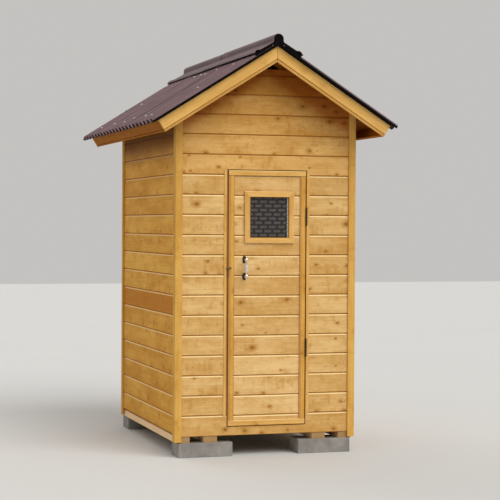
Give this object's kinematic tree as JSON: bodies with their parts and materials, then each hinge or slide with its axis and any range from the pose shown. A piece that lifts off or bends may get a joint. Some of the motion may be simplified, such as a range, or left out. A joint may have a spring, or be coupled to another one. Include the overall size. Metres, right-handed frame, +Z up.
{
  "type": "outdoor shower cabin",
  "caption": "Small timber outdoor shower cabin on blocks, with a corrugated gable roof and a hinged door with a window.",
  "frame": {"origin": "on the ground, under the middle of the roof", "axes": "+X to the right along the front, +Y to the rear, +Z up"},
  "size_m": [1.7852, 2.4336, 2.9326],
  "materials": {
    "stained_boards": "honey stain",
    "stained_trim": "honey stain",
    "bare_timber": "sawn, unpainted",
    "concrete": "rough",
    "roof_sheet": "matt, granular",
    "ridge_cap": "matt, granular",
    "dark_filler": "matt foam",
    "hinge_steel": "dark",
    "bright_metal": "polished",
    "black_metal": "satin black",
    "plain_steel": "plain",
    "pane": "patterned"
  },
  "bodies": {
    "cabin": {"blocks": "concrete", "floor_joists": "bare_timber", "floor_boards": "bare_timber", "bottom_plates_side": "bare_timber", "bottom_plates_end": "bare_timber", "wall_posts": "bare_timber", "top_plates_side": "bare_timber", "top_plates_end": "bare_timber", "door_header": "bare_timber", "threshold": "stained_boards", "door_stop": "stained_boards", "left_wall": "stained_boards", "right_wall": "stained_boards", "rear_wall": "stained_boards", "front_wall_left": "stained_boards", "front_wall_right": "stained_boards", "front_sill_board": "stained_boards", "front_gable": "stained_boards", "door_casings": "stained_trim", "corner_trim_front_left": "stained_trim", "corner_trim_front_right": "stained_trim", "corner_trim_rear_left": "stained_trim", "corner_trim_rear_right": "stained_trim", "rafters_left": "bare_timber", "rafters_right": "bare_timber", "roof_boards_left": "bare_timber", "roof_boards_right": "bare_timber", "bargeboard_front_left": "stained_trim", "bargeboard_front_right": "stained_trim", "bargeboard_rear_left": "stained_trim", "bargeboard_rear_right": "stained_trim", "fascia_left": "stained_trim", "fascia_right": "stained_trim", "roof_sheet_left": "roof_sheet", "roof_sheet_right": "roof_sheet", "ridge_cap": "ridge_cap", "ridge_closures": "dark_filler", "frame_hinges": "hinge_steel"},
    "door": {"door_panel": "stained_boards", "door_stiles": "stained_trim", "door_rails": "stained_trim", "door_back_battens": "stained_boards", "window_trim": "stained_trim", "window_pane": "pane", "door_hinges": "hinge_steel", "handle_grip": "bright_metal", "handle_rosettes": "black_metal", "latch_screw": "plain_steel"},
    "latch": {"turn_latch": "plain_steel"}
  },
  "joints": [
    {"name": "door_hinge", "type": "hinge", "parent": "cabin", "child": "door", "pos_m": [0.29375, -0.978, 0], "axis": [0, 0, 1], "range_deg": [0, 165]},
    {"name": "latch_pivot", "type": "hinge", "parent": "door", "child": "latch", "pos_m": [-0.269, -0.978, 1.316], "axis": [0, -1, 0], "range_deg": [-90, 90]}
  ]
}
